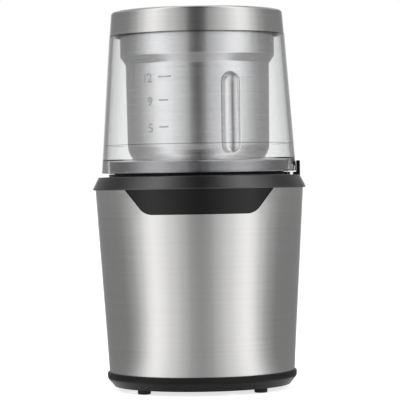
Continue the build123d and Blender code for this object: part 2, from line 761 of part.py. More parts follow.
# ---- Upper bracket: bearing cup, four arms to the rubber mounts and two stack posts ----
with BuildPart() as upper_bracket:
    arm_l = 2 * (MOUNT_SPREAD * 2**0.5)
    for angle in (45, 135):
        with Locations(Location((0, 0, z_arm), (0, 0, angle))):
            Box(arm_l, ARM_W, BRACKET_T, align=UP)
    block(0, 0, 2 * bolt_x, 2 * BRACKET_POST_R, z_arm, z_arm_top)
    for x, y in MOUNTS:
        column(x, y, DAMPER_R, z_arm, z_arm_top)
        column(x, y, SCREW_R + SCREW_HOLE_GAP, z_arm, z_arm_top, mode=Mode.SUBTRACT)
    for x in (-bolt_x, bolt_x):
        column(x, 0, BRACKET_POST_R, z_stack_top, z_arm_top)
        column(x, 0, BOLT_R + FIT, z_stack_top, z_arm_top, mode=Mode.SUBTRACT)
    column(0, 0, cup_holder_r, z_arm, z_high_bearing_top)
    column(0, 0, BEARING_R + FIT, z_high_bearing, z_high_bearing_top, mode=Mode.SUBTRACT)
    column(0, 0, SHAFT_R + SEAL_TOP_T, z_arm, z_high_bearing, mode=Mode.SUBTRACT)
save(upper_bracket.part, "upper_bracket")

# ---- Lower bracket: bearing cup, two stack posts and a seat for each brush holder ----
brush_z = (z_commutator + z_commutator_top) / 2
brush_y = COMMUTATOR_R + SLIP
holder_y = brush_y + HOLDER_SETBACK
holder_h = BRUSH_H + 2 * (HOLDER_T + FIT)
holder_w = BRUSH_W + 2 * (HOLDER_T + FIT)
with BuildPart() as lower_bracket:
    block(0, 0, 2 * bolt_x, 2 * BRACKET_POST_R, z_low_arm, z_low_arm_top)
    seat_l = 2 * (holder_y + HOLDER_L)
    block(0, 0, holder_w, seat_l, z_low_arm, z_low_arm_top)
    for side in (-1, 1):
        seat_y = side * (holder_y + HOLDER_L / 2)
        block(0, seat_y, holder_w, HOLDER_L, z_low_arm_top, brush_z - holder_h / 2)
    for x in (-bolt_x, bolt_x):
        column(x, 0, BRACKET_POST_R, z_low_arm, z_stack)
        column(x, 0, BOLT_R + FIT, z_low_arm, z_stack, mode=Mode.SUBTRACT)
    column(0, 0, cup_holder_r, z_low_bearing, z_low_arm_top)
    column(0, 0, BEARING_R + FIT, z_low_bearing, z_low_bearing_top, mode=Mode.SUBTRACT)
    column(0, 0, SHAFT_R + SEAL_TOP_T, z_low_bearing, z_low_arm_top, mode=Mode.SUBTRACT)
save(lower_bracket.part, "lower_bracket")


def bearing(low, name):
    """A ball bearing drawn as one ring with a groove in each side."""
    with BuildPart() as race:
        ring(SHAFT_R + RUN, BEARING_R, low, low + BEARING_H)
        middle = (SHAFT_R + BEARING_R) / 2
        for level in (low, low + BEARING_H - GROOVE_D):
            ring(middle - GROOVE_W / 2, middle + GROOVE_W / 2, level, level + GROOVE_D, Mode.SUBTRACT)
    save(race.part, name)


bearing(z_low_bearing, "lower_bearing")
bearing(z_high_bearing, "upper_bearing")

# ---- Brush gear: two holders, two carbon brushes and the springs behind them ----
with BuildPart() as brush_holders:
    for side in (-1, 1):
        middle = side * (holder_y + HOLDER_L / 2)
        block(0, middle, holder_w, HOLDER_L, brush_z - holder_h / 2, brush_z + holder_h / 2)
        inner = side * (holder_y + (HOLDER_L - HOLDER_T) / 2)
        with Locations((0, inner, brush_z)):
            Box(
                BRUSH_W + 2 * FIT,
                HOLDER_L - HOLDER_T,
                BRUSH_H + 2 * FIT,
                mode=Mode.SUBTRACT,
            )
save(brush_holders.part, "brush_holders")

with BuildPart() as carbon_brushes:
    with Locations(*[(0, side * (brush_y + BRUSH_L / 2), brush_z) for side in (-1, 1)]):
        Box(BRUSH_W, BRUSH_L, BRUSH_H)
save(carbon_brushes.part, "carbon_brushes")

brush_spring_l = holder_y + HOLDER_L - HOLDER_T - brush_y - BRUSH_L
with BuildPart() as brush_springs:
    for side in (-1, 1):
        with Locations(Plane(origin=(0, side * (brush_y + BRUSH_L), brush_z), z_dir=(0, side, 0))):
            add(coil(BRUSH_SPRING_R, BRUSH_WIRE_R, brush_spring_l, BRUSH_SPRING_TURNS))
save(brush_springs.part, "brush_springs")

# ---- Two through bolts with nuts that clamp both brackets to the stack ----
with BuildPart() as motor_bolts:
    for x in (-bolt_x, bolt_x):
        column(x, 0, BOLT_HEAD_R, z_low_arm - BOLT_HEAD_H, z_low_arm)
        column(x, 0, BOLT_R, z_low_arm, z_arm_top + BOLT_HEAD_H + BOLT_PROUD)
save(motor_bolts.part, "motor_bolts")

with BuildPart() as motor_nuts:
    with BuildSketch(Plane.XY.offset(z_arm_top)):
        with Locations((-bolt_x, 0), (bolt_x, 0)):
            RegularPolygon(BOLT_HEAD_R, 6)
            Circle(BOLT_R + FIT, mode=Mode.SUBTRACT)
    extrude(amount=BOLT_HEAD_H)
save(motor_nuts.part, "motor_nuts")

# ---- Four rubber dampers and the screws that hang the motor from the deck ----
with BuildPart() as motor_dampers:
    for x, y in MOUNTS:
        column(x, y, DAMPER_R, z_arm_top, z_arm_top + DAMPER_H)
        column(x, y, SCREW_R + SCREW_HOLE_GAP, z_arm_top, z_arm_top + DAMPER_H, mode=Mode.SUBTRACT)
save(motor_dampers.part, "motor_dampers")

with BuildPart() as motor_screws:
    for x, y in MOUNTS:
        column(x, y, SCREW_HEAD_R, z_arm - PAN_HEAD_H, z_arm)
        column(x, y, SCREW_R, z_arm, z_motor_deck_top - SCREW_END_GAP)
save(motor_screws.part, "motor_screws")

# ---- Rotor: shaft, laminated core, windings, commutator, fan and drive coupling ----
with BuildPart() as motor_shaft:
    column(0, 0, SHAFT_R, z_fan - SHAFT_TAIL, z_drive_plate_top + DOG_H - SLIP)
    chamfer(motor_shaft.edges().group_by(Axis.Z)[0], SHAFT_CHAMFER)
    chamfer(motor_shaft.edges().group_by(Axis.Z)[-1], SHAFT_CHAMFER)
save(motor_shaft.part, "motor_shaft")

with BuildPart() as armature_core:
    with BuildSketch(Plane.XY.offset(z_stack)):
        Circle(CORE_R)
        Circle(SHAFT_R, mode=Mode.SUBTRACT)
        with PolarLocations(CORE_R - CORE_SLOT_D / 2, CORE_SLOTS):
            Rectangle(CORE_SLOT_D + PAST, CORE_SLOT_W, mode=Mode.SUBTRACT)
    extrude(amount=STACK_H)
save(armature_core.part, "armature_core")

with BuildPart() as armature_windings:
    for low in (z_low_winding, z_stack_top):
        high = low + WINDING_H
        turn(
            (SHAFT_R, low),
            (WINDING_R, low),
            (WINDING_R, high),
            (SHAFT_R, high),
            rounds=(((WINDING_R, low), WINDING_ROUND), ((WINDING_R, high), WINDING_ROUND)),
        )
save(armature_windings.part, "armature_windings")

with BuildPart() as commutator:
    ring(SHAFT_R, COMMUTATOR_R, z_commutator, z_commutator_top)
    with BuildSketch(Plane.XY.offset(z_commutator)):
        with PolarLocations(COMMUTATOR_R, COMMUTATOR_SEGMENTS):
            Rectangle(2 * SEGMENT_GAP_D, SEGMENT_GAP_W)
    extrude(amount=COMMUTATOR_L, mode=Mode.SUBTRACT)
save(commutator.part, "commutator")

with BuildPart() as cooling_fan:
    ring(SHAFT_R, FAN_HUB_R, z_fan, z_fan_top)
    ring(SHAFT_R, FAN_R, z_fan_disc, z_fan_top)
    blade_l = FAN_R - FAN_HUB_R - FAN_BLADE_SETBACK
    with PolarLocations(FAN_HUB_R + blade_l / 2, FAN_BLADES):
        with Locations((0, 0, z_fan)):
            Box(blade_l + PAST, FAN_BLADE_T, FAN_BLADE_H, align=UP)
save(cooling_fan.part, "cooling_fan")


def dogs(low, high, start):
    """The coupling's teeth: sectors between two radii, the first centred on start."""
    reach = 2 * COUPLING_R
    side = reach * sin(radians(DOG_ANGLE / 2))
    front = reach * cos(radians(DOG_ANGLE / 2))
    with BuildSketch(Plane.XY.offset(low)) as teeth:
        with PolarLocations(0, DOG_COUNT, start_angle=start):
            Polygon((0, 0), (front, -side), (front, side), align=None)
        Circle(COUPLING_R, mode=Mode.INTERSECT)
        Circle(DOG_INNER_R, mode=Mode.SUBTRACT)
    extrude(teeth.sketch, amount=high - low)


with BuildPart() as drive_coupler:
    ring(SHAFT_R, COUPLING_R, z_drive, z_drive_plate_top)
    ring(SHAFT_R, DOG_CORE_R, z_drive_plate_top, z_drive_plate_top + DOG_H - SLIP)
    dogs(z_drive_plate_top, z_drive_plate_top + DOG_H, 0)
save(drive_coupler.part, "drive_coupler")

# ==== Switch ==================================================================================
with BuildPart() as microswitch:
    block(switch_mid_x, 0, SWITCH_L, SWITCH_W, z_switch, z_switch_top)
    column(rod_x, 0, SWITCH_BUTTON_R, z_switch_top, z_switch_top + SWITCH_BUTTON_H)
    for offset_x in (-TERMINAL_SPACING, 0, TERMINAL_SPACING):
        block(switch_mid_x + offset_x, 0, TERMINAL_W, TERMINAL_T, z_switch - TERMINAL_L, z_switch)
    with Locations(*[Plane(origin=p, z_dir=(0, 1, 0)) for p in switch_holes()]):
        Cylinder(SWITCH_SCREW_R + FIT, 2 * SWITCH_W, mode=Mode.SUBTRACT)
save(microswitch.part, "microswitch")

with BuildPart() as switch_screws:
    for x, y, z in switch_holes():
        front = -SWITCH_W / 2
        with Locations(Plane(origin=(x, front, z), z_dir=(0, 1, 0))):
            Cylinder(SWITCH_SCREW_R, SWITCH_W + SHELF_T, align=UP)
        with Locations(Plane(origin=(x, front, z), z_dir=(0, -1, 0))):
            Cylinder(2 * SWITCH_SCREW_R, PAN_HEAD_H, align=UP)
save(switch_screws.part, "switch_screws")

with BuildPart() as switch_spring:
    with Locations((rod_x, 0, z_spring)):
        add(coil(SPRING_R, SPRING_WIRE_R, SPRING_L, SPRING_TURNS))
save(switch_spring.part, "switch_spring")

# ---- Switch rod: its blade stands in the collar's slot, its pin goes down to the switch ----
with BuildPart() as switch_rod:
    blade_in = slot_in_r + SLIP
    blade_out = slot_out_r - SLIP
    arc_block(blade_in, blade_out, ROD_W, z_jog, z_switch_rod_top)
    jog_l = blade_out - rod_x + ROD_R
    block(rod_x - ROD_R + jog_l / 2 - FIT, 0, jog_l, ROD_W, z_jog, z_jog + ROD_T)
    column(rod_x, 0, ROD_R, z_rod_tip, z_jog + ROD_T)
    column(rod_x, 0, ROD_FLANGE_R, z_rod_flange, z_rod_flange + ROD_FLANGE_T)
save(switch_rod.part, "switch_rod")

# ==== Bowl ====================================================================================
flute_r = (FLUTE_WIDTH**2 / 4 + FLUTE_DEPTH**2) / (2 * FLUTE_DEPTH)
flute_axis_r = BOWL_R - BOWL_DRAFT / 2 - FLUTE_DEPTH + flute_r
flute_x, flute_y = around(flute_axis_r, (FLUTE_ANGLE,))[0]
flute_low = z_cup + FLUTE_LOW
flute_high = z_shoulder - FLUTE_DROP
with BuildPart() as flute_bump:
    bump_r = flute_r + BOWL_WALL
    add(capsule(flute_x, flute_y, bump_r, flute_low - BOWL_WALL, flute_high + BOWL_WALL))
    revolve(cup_section(0, z_rim), axis=Axis.Z, mode=Mode.INTERSECT)

with BuildPart() as grinding_bowl:
    revolve(cup_section(0, z_rim), axis=Axis.Z)
    revolve(cup_section(BOWL_WALL, z_rim), axis=Axis.Z, mode=Mode.SUBTRACT)
    ring(MOUTH_R - BOWL_WALL, MOUTH_R + RIM_LIP, z_rim - RIM_T, z_rim)
    add(flute_bump.part)
    add(capsule(flute_x, flute_y, flute_r, flute_low, flute_high), mode=Mode.SUBTRACT)
    flute = grinding_bowl.faces().filter_by(lambda face: abs((face.radius or 0) - flute_r) < FIT)
    edges = [edge for face in flute for edge in face.edges()]
    fillet([one for one in edges if sum(one.is_same(other) for other in edges) == 1], FLUTE_RIM_R)
    column(0, 0, BUSH_R + FIT, z_cup, z_cup_floor, mode=Mode.SUBTRACT)
save(grinding_bowl.part, "grinding_bowl")

# ---- Bowl foot: the platform under the cup, its spigot and the keys that stop it turning ----
spigot_r = well_r - SPIGOT_SIDE_GAP
skin_in_r = bowl_foot_r - FOOT_SKIN_T
z_spigot = z_well + SPIGOT_FLOOR_GAP
with BuildPart() as bowl_foot:
    turn(
        (BUSH_R + FIT, z_web),
        (spigot_r - SPIGOT_T, z_web),
        (spigot_r - SPIGOT_T, z_spigot),
        (spigot_r, z_spigot),
        (spigot_r, z_bowl_foot),
        (skin_in_r - FIT, z_bowl_foot),
        (skin_in_r - FIT, z_skin),
        (BUSH_R + FIT, z_skin),
        rounds=(((spigot_r, z_spigot), BAND_ROUND),),
    )
    revolve(cup_section(-CUP_GAP, z_rim), axis=Axis.Z, mode=Mode.SUBTRACT)
    for angle in LUG_ANGLES:
        arc_block(spigot_r - PAST, lug_r, LUG_W, z_spigot, z_spigot + LUG_H, angle)
save(bowl_foot.part, "bowl_foot")

# ---- Foot cover: the pressed steel skin over the foot's top and round its side ----
with BuildPart() as foot_cover:
    turn(
        (BUSH_FLANGE_R, z_skin),
        (skin_in_r, z_skin),
        (skin_in_r, z_bowl_foot),
        (bowl_foot_r, z_bowl_foot),
        (bowl_foot_r, z_band_top),
        (BUSH_FLANGE_R, z_band_top),
        rounds=(((bowl_foot_r, z_band_top), BAND_ROUND),),
    )
    revolve(cup_section(-CUP_GAP, z_rim), axis=Axis.Z, mode=Mode.SUBTRACT)
save(foot_cover.part, "foot_cover")

with BuildPart() as blade_bush:
    z_flange_low = z_cup_floor + GASKET_T
    z_flange_top = z_flange_low + BUSH_FLANGE_T
    turn(
        (BLADE_SHAFT_R + RUN, z_bush_nut),
        (BUSH_R, z_bush_nut),
        (BUSH_R, z_flange_low),
        (BUSH_FLANGE_R, z_flange_low),
        (BUSH_FLANGE_R, z_flange_top),
        (BUSH_NECK_R, z_flange_top),
        (BUSH_NECK_R, z_flange_top + BUSH_NECK_H),
        (BLADE_SHAFT_R + RUN, z_flange_top + BUSH_NECK_H),
    )
save(blade_bush.part, "blade_bush")

with BuildPart() as bush_gasket:
    ring(BUSH_R + FIT, BUSH_FLANGE_R, z_cup_floor, z_cup_floor + GASKET_T)
save(bush_gasket.part, "bush_gasket")

with BuildPart() as bush_nut:
    with BuildSketch(Plane.XY.offset(z_bush_nut)):
        RegularPolygon(BUSH_NUT_R, 6)
        Circle(BUSH_R + FIT, mode=Mode.SUBTRACT)
    extrude(amount=BUSH_NUT_T)
save(bush_nut.part, "bush_nut")

# ==== Blade ===================================================================================
z_blade = z_flange_top + BUSH_NECK_H + SLIP
with BuildPart() as blade:
    with BuildSketch(Plane.XZ) as edge:
        with BuildLine():
            flat = BLADE_NUT_R + BLADE_FLAT
            bend = flat + BLADE_BEND
            top_in = z_blade + BLADE_LIFT
            Polyline(
                (-flat, z_blade),
                (flat, z_blade),
                (bend, top_in),
                (BLADE_R, top_in),
                (BLADE_R, top_in + BLADE_T),
                (bend - BLADE_T / 2, top_in + BLADE_T),
                (flat - BLADE_T / 2, z_blade + BLADE_T),
                (-BLADE_R, z_blade + BLADE_T),
                (-BLADE_R, z_blade),
                close=True,
            )
        make_face()
    extrude(edge.sketch, amount=BLADE_ROOT_W / 2, both=True)
    with BuildSketch(Plane.XY.offset(z_blade)) as plan:
        Polygon(
            (0, BLADE_ROOT_W / 2),
            (-flat, BLADE_ROOT_W / 2),
            (-BLADE_R, -BLADE_ROOT_W / 2 + BLADE_TIP_W),
            (-BLADE_R + BLADE_SWEEP, -BLADE_ROOT_W / 2),
            (flat, -BLADE_ROOT_W / 2),
            (BLADE_R, BLADE_ROOT_W / 2 - BLADE_TIP_W),
            (BLADE_R - BLADE_SWEEP, BLADE_ROOT_W / 2),
            align=None,
        )
        Circle(BLADE_SHAFT_R, mode=Mode.SUBTRACT)
    extrude(plan.sketch, amount=BLADE_R, mode=Mode.INTERSECT)
save(blade.part, "blade")

z_blade_nut = z_blade + BLADE_T
z_shaft_end = z_blade_nut + BLADE_NUT_H - BLADE_NUT_TOP_T
with BuildPart() as blade_shaft:
    column(0, 0, BLADE_SHAFT_R, z_driven_plate, z_shaft_end)
    ring(BLADE_SHAFT_R - SHAFT_STEP, BUSH_NECK_R, z_blade - SLIP / 2, z_blade)
save(blade_shaft.part, "blade_shaft")

with BuildPart() as blade_nut:
    with BuildSketch(Plane.XY.offset(z_blade_nut)):
        RegularPolygon(BLADE_NUT_R, 6)
    extrude(amount=BLADE_NUT_H)
    fillet(blade_nut.edges().group_by(Axis.Z)[-1], PAD_ROUND)
    column(0, 0, BLADE_SHAFT_R, z_blade_nut, z_shaft_end, mode=Mode.SUBTRACT)
save(blade_nut.part, "blade_nut")

with BuildPart() as driven_coupler:
    ring(BLADE_SHAFT_R, COUPLING_R, z_driven_plate, z_driven_top)
    dogs(z_driven_plate - DOG_H, z_driven_plate, 180 / DOG_COUNT)
save(driven_coupler.part, "driven_coupler")

# ==== Lid =====================================================================================

# ---- Rim seal: the silicone ring that rides on the bowl's rim and gives under the lid ----
rim_r = MOUTH_R + RIM_LIP
seal_out_r = rim_r + SLIP + SEAL_OUTER_T
seal_in_r = MOUTH_R - BOWL_WALL - SLIP - SEAL_INNER_T
with BuildPart() as rim_seal:
    ring(seal_in_r, seal_out_r, z_rim - SEAL_LEG_H, z_seal_top)
    ring(
        seal_in_r + SEAL_INNER_T,
        seal_out_r - SEAL_OUTER_T,
        z_rim - SEAL_LEG_H,
        z_rim + PRESS + SLIP,
        mode=Mode.SUBTRACT,
    )
save(rim_seal.part, "rim_seal")

# ---- Lid shell: clear wall, thicker skirt, closed roof inside the cap, locking finger ----
z_ledge = z_lid + LID_SKIRT_H
z_lid_foot = z_lid + LID_FOOT_H
z_lid_cone = z_lid_foot + LID_FOOT_CONE
cap_low_r = lid_top_r - CAP_STEP
cap_top_r = cap_low_r - CAP_TAPER
hub_gap = CAP_T + FIT
well_in_r = seal_out_r + SLIP
wall_in_r = lid_top_r - LID_WALL_T
notch_w = POST_W + 2 * SLIP
with BuildPart() as lid_shell:
    turn(
        (lid_skirt_r, z_lid),
        (lid_r, z_lid),
        (lid_top_r, z_cap - FIT),
        (cap_low_r - hub_gap, z_cap - FIT),
        (cap_top_r - hub_gap, z_roof_top),
        (0, z_roof_top),
        (0, z_roof),
        (well_in_r, z_roof),
        (well_in_r, z_cap + LID_NECK_STEP),
        (wall_in_r, z_cap + LID_NECK_STEP - (wall_in_r - well_in_r)),
        (lid_outer_r(z_ledge + LEDGE_H) - LID_WALL_T, z_ledge + LEDGE_H),
        (lid_outer_r(z_ledge) - LID_SKIRT_T, z_ledge),
        (lid_outer_r(z_lid_cone) - LID_SKIRT_T, z_lid_cone),
        (lid_skirt_r, z_lid_foot),
        rounds=(((lid_skirt_r, z_lid), LID_ROUND), ((lid_r, z_lid), LID_ROUND)),
    )
    arc_block(
        lid_skirt_r - PAST, lid_r + PAST, notch_w, z_lid, z_lid + NOTCH_H, mode=Mode.SUBTRACT
    )
    arc_block(lid_skirt_r, lid_skirt_r + FINGER_T, FINGER_W, z_lid - FINGER_DROP, z_lid + NOTCH_H)
save(lid_shell.part, "lid_shell")

# ---- Lid cap: the brushed steel cup over the lid's top ----
with BuildPart() as lid_cap:
    turn(
        (cap_low_r - CAP_T, z_cap),
        (cap_low_r, z_cap),
        (cap_top_r, z_top),
        (0, z_top),
        (0, z_top - CAP_ROOF_T),
        (cap_top_r - CAP_T, z_top - CAP_ROOF_T),
        rounds=(((cap_top_r, z_top), CAP_ROUND),),
    )
save(lid_cap.part, "lid_cap")

with BuildPart() as seal_retainer:
    ring(MOUTH_R - RETAINER_INSET, well_in_r - FIT, z_retainer, z_roof)
save(seal_retainer.part, "seal_retainer")
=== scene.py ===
"""Looks of the electric spice grinder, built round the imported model. Metres, +Z up, front at -Y."""

import json
import math

import bmesh
import bpy
from mathutils import Matrix, Vector


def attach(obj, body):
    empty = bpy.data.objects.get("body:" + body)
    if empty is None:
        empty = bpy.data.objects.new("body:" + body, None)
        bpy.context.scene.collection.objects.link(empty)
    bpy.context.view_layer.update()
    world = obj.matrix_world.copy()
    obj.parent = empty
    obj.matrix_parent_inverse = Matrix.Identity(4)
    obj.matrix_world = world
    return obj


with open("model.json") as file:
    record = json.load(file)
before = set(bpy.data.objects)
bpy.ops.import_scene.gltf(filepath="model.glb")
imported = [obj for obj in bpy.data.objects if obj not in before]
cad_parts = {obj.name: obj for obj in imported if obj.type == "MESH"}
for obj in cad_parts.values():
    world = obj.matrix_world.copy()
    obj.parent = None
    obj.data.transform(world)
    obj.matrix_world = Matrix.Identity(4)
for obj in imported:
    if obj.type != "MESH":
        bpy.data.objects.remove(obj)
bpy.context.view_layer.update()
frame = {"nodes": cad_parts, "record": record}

SCENE = bpy.context.scene

# ---- Camera --------------------------------------------------------------------------
VIEW_DISTANCE = 1.18  # from the camera to the motor's axis
VIEW_HEIGHT = 0.109
VIEW_SCALE = 0.000528  # metres a pixel at the axis
PICTURE = 400  # the picture's width in pixels
HORIZON_Y = 182  # pixels from the top
AXIS_X = 199.5  # where the axis crosses the picture's middle line
ROLL = 0.95  # degrees that the picture leans to the left
SENSOR = 36  # millimetres

# ---- World, floor and lamps ------------------------------------------------------------
DIFFUSE_LEVEL = 0.62  # the world's strength as a light; where it is seen, it is 1
FLOOR_SIZE = 60.0
FLOOR_COLOR = 0.80
FLOOR_GLOW = 0.72
LAMPS = (  # name, place, watts
    ("key_lamp", (-0.9, -1.1, 1.3), 9.0),
    ("fill_lamp", (1.1, -0.9, 0.9), 5.0),
)
LAMP_SIZE = 0.9
LAMP_AIM = (0, 0, 0.1)  # the object's middle

# ---- Light tent ------------------------------------------------------------------------
TENT_R = 0.30
TENT_TOP = 2.0
TENT_HOLE_R = 0.056  # where the tent's floor begins, round the object's foot
TENT_FLOOR_Z = 0.0002
TENT_SIDES = 240
HALF_TURN = 180  # degrees from the front to the back
# Brightness by degrees from the front, the same to either side, in rows from the floor up.
TENT_ROWS = (
    (
        (0, 0.42), (9, 0.48), (17, 0.68), (29, 0.96), (42, 1.28), (49, 1.42),
        (56, 1.24), (64, 0.82), (75, 0.46), (88, 0.30), (148, 0.28), (164, 0.70), (180, 0.80),
    ),
    (
        (0, 0.42), (9, 0.48), (17, 0.68), (30, 0.96), (43, 1.28), (50, 1.42),
        (58, 1.24), (67, 0.84), (80, 0.46), (94, 0.30), (148, 0.28), (164, 0.70), (180, 0.80),
    ),
    (
        (0, 0.11), (6, 0.22), (16, 0.70), (24, 0.90), (32, 1.06), (42, 1.32), (54, 1.40),
        (64, 1.30), (74, 1.02), (86, 0.70), (100, 0.45), (118, 0.35), (148, 0.33), (164, 0.70),
        (180, 0.80),
    ),
    (
        (0, 0.10), (7, 0.14), (17, 0.56), (32, 0.82), (46, 1.15), (54, 1.40),
        (64, 1.25), (74, 0.85), (86, 0.45), (98, 0.30), (148, 0.28), (164, 0.80), (180, 0.95),
    ),
    (
        (0, 0.06), (10, 0.09), (20, 0.30), (30, 0.66), (40, 1.10), (52, 1.70), (62, 1.50),
        (74, 1.05), (88, 0.70), (104, 0.55), (130, 0.55), (150, 0.80), (164, 1.05), (180, 1.15),
    ),
)
# Heights between which a row goes over into the next.
TENT_CHANGES = ((0.001, 0.020), (0.080, 0.116), (0.200, 0.220), (0.270, 0.330))
TENT_PEAK = max(level for row in TENT_ROWS for _, level in row)

# ---- Finishes --------------------------------------------------------------------------
BRUSH_GRAIN = 14  # noise features a metre along the brush lines
BRUSH_RELIEF = 0.000004
DECK_Z = 0.1122  # the collar's deck, where its neck begins, which barely reflects as painted shade
DECK_EDGE = 0.0002
COLLAR_SPECULAR = 1.0
# The neck's reflection is turned almost off: painted shade for the dark gap under the lid's foot.
NECK_SPECULAR_PAINTED_SHADE = 0.06
# Near-white base colour of the foot cover's top: a painted highlight that the cup mirrors.
COVER_TOP_PAINTED_HIGHLIGHT = 0.95
CLEAR_FACE = (0.955, 0.957, 0.96)
# The lid's tint where it is seen edge on: painted shade for the dark edges that refraction gives.
CLEAR_EDGE_PAINTED_SHADE = (0.72, 0.72, 0.73)

# ---- Fill marks ------------------------------------------------------------------------
CUP_R = 0.0378  # the grinding bowl's outside radius at its shoulder
CUP_DRAFT = 0.0004  # how much narrower it is at CUP_LOW
CUP_LOW = 0.117
CUP_SHOULDER = 0.1708
MARKS = (  # height of the dash, its length, its figures
    (0.1634, 0.0074, "12"),
    (0.1514, 0.0056, "9"),
    (0.1376, 0.0054, "5"),
)
MARK_ANGLE = 31.9  # degrees left of the front where the dashes begin
MARK_T = 0.0009
MARK_PROUD = 0.0003
MARK_DOME = ((0.1, 0.97), (0.5, 0.85), (0.85, 0.55), (1.0, 0.2))  # shares of height and width
MARK_END_SIDES = 6
SINK = 0.0001  # how deep the marks' backs lie in the bowl's wall
NUMBER_ANGLE = 37.9  # degrees left of the front where the figures end
NUMBER_H = 0.0047
NUMBER_DROP = 0.0007  # the figures' middle below their dash
FIGURE_SHARE = 0.72  # a figure's height as a share of the font's size
FIGURE_BEVEL = 0.0002
WRAP_STEP = 0.0008  # between the cuts at which a mark bends
WELD = 0.000001

# A Mix node's sockets for colours, which share their names with those for numbers.
MIX_A, MIX_B, MIX_OUT = 6, 7, 2


# ==== Material helpers ================================================================
def grey(level):
    """An opaque grey of the given level."""
    return (level,) * 3 + (1,)


def feed(tree, value, socket):
    """Links an input to a node's output, or gives it a plain value."""
    if isinstance(value, bpy.types.NodeSocket):
        tree.links.new(value, socket)
    else:
        socket.default_value = value


def reckon(tree, operation, *values):
    """The result of a Math node, each of its values a number or a node's output."""
    made = tree.nodes.new("ShaderNodeMath")
    made.operation = operation
    for value, socket in zip(values, made.inputs):
        feed(tree, value, socket)
    return made.outputs[0]


class Shade:
    """One material's node tree, with the few nodes that the finishes share."""

    def __init__(self, name, **values):
        self.material = bpy.data.materials.new(name)
        self.material.use_nodes = True
        self.tree = self.material.node_tree
        self.tree.nodes.clear()
        self.bsdf = self.tree.nodes.new("ShaderNodeBsdfPrincipled")
        output = self.tree.nodes.new("ShaderNodeOutputMaterial")
        self.link(self.bsdf.outputs["BSDF"], output.inputs["Surface"])
        for key, value in values.items():
            self.bsdf.inputs[key.replace("_", " ")].default_value = value

    @classmethod
    def of(cls, material):
        """The same tools for a material that exists already."""
        made = cls.__new__(cls)
        made.material = material
        made.tree = material.node_tree
        made.bsdf = made.tree.nodes["Principled BSDF"]
        return made

    def link(self, source, target):
        self.tree.links.new(source, target)

    def node(self, kind, **settings):
        made = self.tree.nodes.new(kind)
        for key, value in settings.items():
            setattr(made, key, value)
        return made

    def axis_value(self, source, axis):
        """One axis of a texture coordinate: Object in metres, or Normal."""
        where = self.node("ShaderNodeTexCoord")
        split = self.node("ShaderNodeSeparateXYZ")
        self.link(where.outputs[source], split.inputs[0])
        return split.outputs[axis]

    def place(self, scale):
        """The object's own coordinates in metres, times scale."""
        where = self.node("ShaderNodeTexCoord")
        mapping = self.node("ShaderNodeMapping")
        mapping.inputs["Scale"].default_value = scale
        self.link(where.outputs["Object"], mapping.inputs["Vector"])
        return mapping.outputs["Vector"]

    def noise(self, scale, detail=3.0, roughness=0.55):
        """Noise between 0 and 1; scale is features a metre, one number or one along each axis."""
        made = self.node("ShaderNodeTexNoise")
        made.inputs["Scale"].default_value = 1.0
        made.inputs["Detail"].default_value = detail
        made.inputs["Roughness"].default_value = roughness
        axes = scale if isinstance(scale, tuple) else (scale,) * 3
        self.link(self.place(axes), made.inputs["Vector"])
        return made.outputs["Fac"]

    def span(self, value, low, high, start=0.3, end=0.7):
        """Maps start..end of value to low..high."""
        made = self.node("ShaderNodeMapRange")
        made.inputs["From Min"].default_value = start
        made.inputs["From Max"].default_value = end
        made.inputs["To Min"].default_value = low
        made.inputs["To Max"].default_value = high
        self.link(value, made.inputs["Value"])
        return made.outputs["Result"]

    def mixed(self, factor, first, second):
        """A colour from first to second as factor goes from 0 to 1."""
        made = self.node("ShaderNodeMix", data_type="RGBA")
        self.link(factor, made.inputs["Factor"])
        feed(self.tree, first, made.inputs[MIX_A])
        feed(self.tree, second, made.inputs[MIX_B])
        return made.outputs[MIX_OUT]

    def between(self, value, dark, light, start=0.3, end=0.7):
        """A base colour that goes from dark to light as value goes from start to end."""
        ramp = self.node("ShaderNodeValToRGB")
        ramp.color_ramp.elements[0].position = start
        ramp.color_ramp.elements[0].color = (*dark, 1)
        ramp.color_ramp.elements[1].position = end
        ramp.color_ramp.elements[1].color = (*light, 1)
        self.link(value, ramp.inputs["Fac"])
        self.link(ramp.outputs["Color"], self.bsdf.inputs["Base Color"])

    def rough(self, value, low, high):
        self.link(self.span(value, low, high), self.bsdf.inputs["Roughness"])

    def bump(self, value, height, strength=1.0):
        """Relief of the given height in metres."""
        made = self.node("ShaderNodeBump")
        made.inputs["Strength"].default_value = strength
        made.inputs["Distance"].default_value = height
        self.link(value, made.inputs["Height"])
        self.link(made.outputs["Normal"], self.bsdf.inputs["Normal"])

    def turned(self):
        """Brushing that runs round the Z axis: reflections are drawn out along the axis."""
        tangent = self.node("ShaderNodeTangent", direction_type="RADIAL", axis="Z")
        self.link(tangent.outputs["Tangent"], self.bsdf.inputs["Tangent"])


def brushed_steel(name, dark, light, roughness, grain, anisotropy):
    """Stainless steel brushed round the axis; grain is noise features a metre across the lines."""
    made = Shade(name, Metallic=1.0, Anisotropic=anisotropy, Anisotropic_Rotation=0.25)
    made.turned()
    fine = made.noise((BRUSH_GRAIN, BRUSH_GRAIN, grain), detail=4.0, roughness=0.7)
    made.between(fine, dark, light, start=0.25, end=0.75)
    made.rough(fine, roughness - 0.03, roughness + 0.04)
    made.bump(fine, BRUSH_RELIEF, strength=0.6)
    return made.material


def plastic(name, dark, light, roughness, specular=0.5):
    """Moulded plastic with a fine spark-eroded texture."""
    made = Shade(name, Specular_IOR_Level=specular)
    fine = made.noise(2500, detail=2.0)
    cloud = made.noise(40)
    made.between(cloud, dark, light)
    made.rough(cloud, roughness - 0.03, roughness + 0.05)
    made.bump(fine, 0.00002, strength=0.5)
    return made.material


